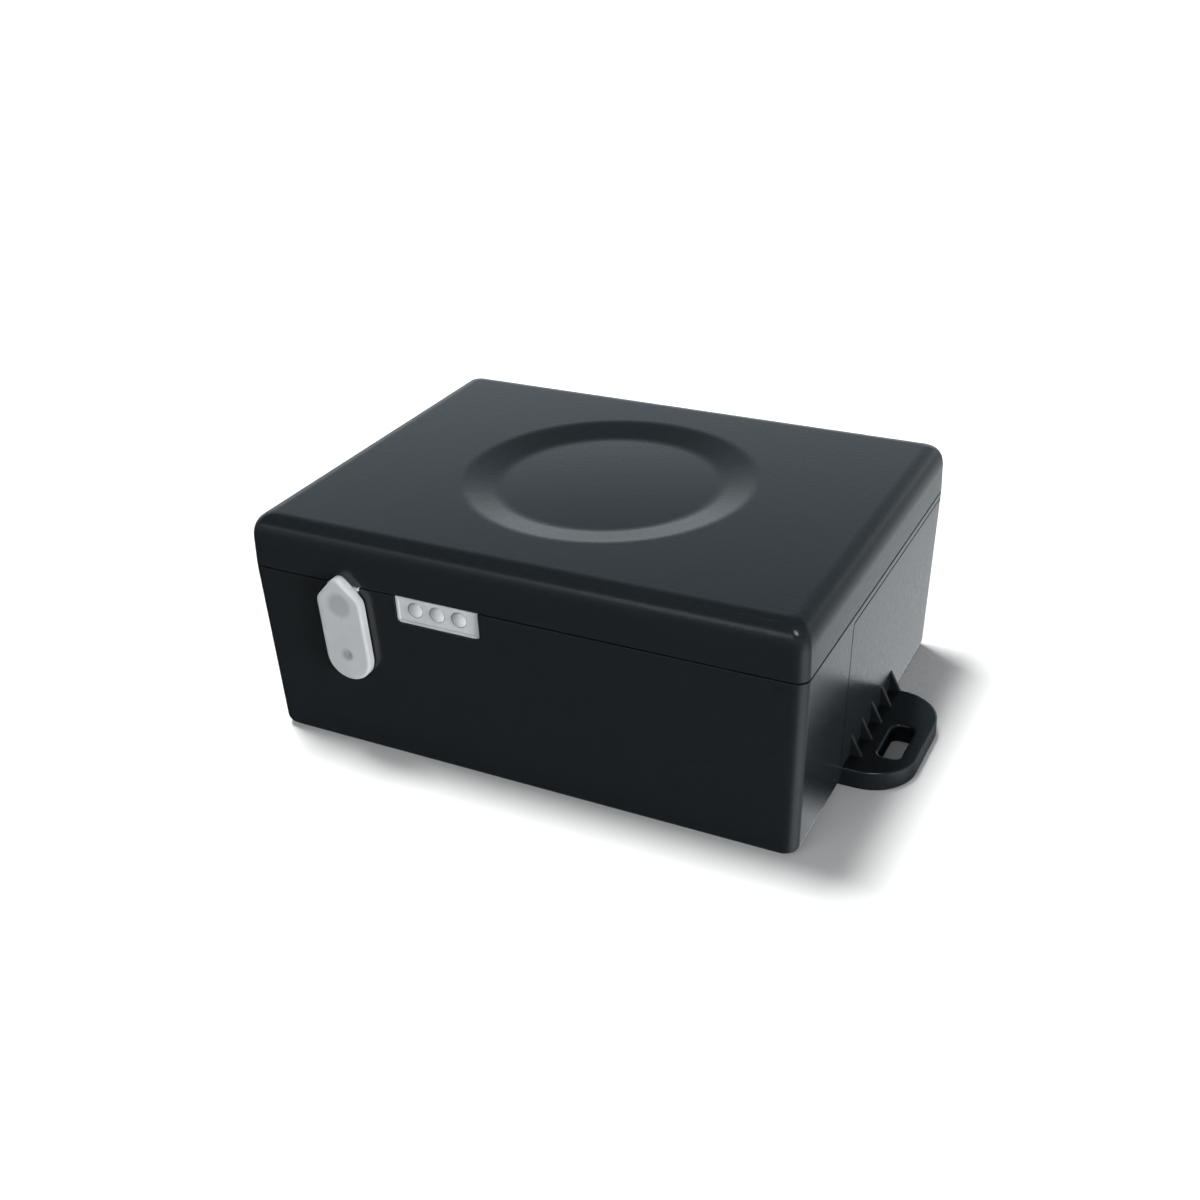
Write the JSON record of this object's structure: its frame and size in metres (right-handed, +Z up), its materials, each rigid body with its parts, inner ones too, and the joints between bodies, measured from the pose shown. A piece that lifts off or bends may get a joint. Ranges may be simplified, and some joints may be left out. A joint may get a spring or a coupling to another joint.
{
  "type": "gps tracker",
  "caption": "Battery tracker in a box-shaped two-part plastic case, with side mounting ears, status lights and a hinged rubber cover over its charge port and power button.",
  "frame": {"origin": "middle of the case's underside, between the two mounting ears", "axes": "+X to the right along the front face, +Y from the front face to the rear, +Z up through the lid"},
  "size_m": [0.1264, 0.0828, 0.0451],
  "materials": {
    "black_case_plastic": "fine spark texture, black",
    "grey_gasket": "smooth silicone cord",
    "screw_steel": "zinc plated",
    "window_plastic": "translucent, lightly frosted",
    "light_lens": "clear domed lens",
    "white_nylon": "plain moulded",
    "pale_silicone": "translucent silicone",
    "dark_button": "smooth",
    "dark_part_plastic": "moulded",
    "tinned_steel": "tin plated sheet",
    "green_board": "solder mask on glass laminate",
    "antenna_ceramic": "fired ceramic",
    "silver_face": "silver print",
    "foam_tape": "adhesive foam",
    "cell_sleeve": "shrink sleeve",
    "nickel_strip": "nickel",
    "lead_sheath": "flexible sheath",
    "foam_pad": "closed-cell foam",
    "antenna_film": "flexible printed film",
    "gold_contact": "gold flash"
  },
  "bodies": {
    "case": {"base_case": "black_case_plastic", "lid": "black_case_plastic", "lid_gasket": "grey_gasket", "lid_screws": "screw_steel", "led_window": "window_plastic", "status_lights": "light_lens", "light_holder": "white_nylon", "cover_tether": "pale_silicone", "button_switch": "dark_part_plastic", "charge_port": "tinned_steel", "charge_port_tongue": "dark_part_plastic", "circuit_board": "green_board", "board_screws": "screw_steel", "satellite_antenna": "antenna_ceramic", "antenna_face": "silver_face", "antenna_pad": "foam_tape", "modem_can": "tinned_steel", "receiver_can": "tinned_steel", "main_processor": "dark_part_plastic", "board_chips": "dark_part_plastic", "card_socket": "tinned_steel", "network_card": "white_nylon", "battery_cells": "cell_sleeve", "cell_holders": "dark_part_plastic", "cell_strips": "nickel_strip", "protection_board": "green_board", "battery_leads": "lead_sheath", "battery_plug": "white_nylon", "board_header": "white_nylon", "battery_pads": "foam_pad", "network_antenna": "antenna_film", "antenna_lead": "lead_sheath", "antenna_socket": "gold_contact"},
    "port_cover": {"port_cover": "pale_silicone"},
    "power_button": {"power_button": "dark_button", "switch_plunger": "white_nylon"}
  },
  "joints": [
    {"name": "cover_hinge", "type": "hinge", "parent": "case", "child": "port_cover", "pos_m": [-0.0329, -0.04145, 0.03316], "axis": [-1, 0, 0], "range_deg": [0, 110]},
    {"name": "button_press", "type": "slide", "parent": "case", "child": "power_button", "axis": [0, 1, 0], "range_m": [0, 0.00035], "stiffness_N_per_m": 800}
  ]
}
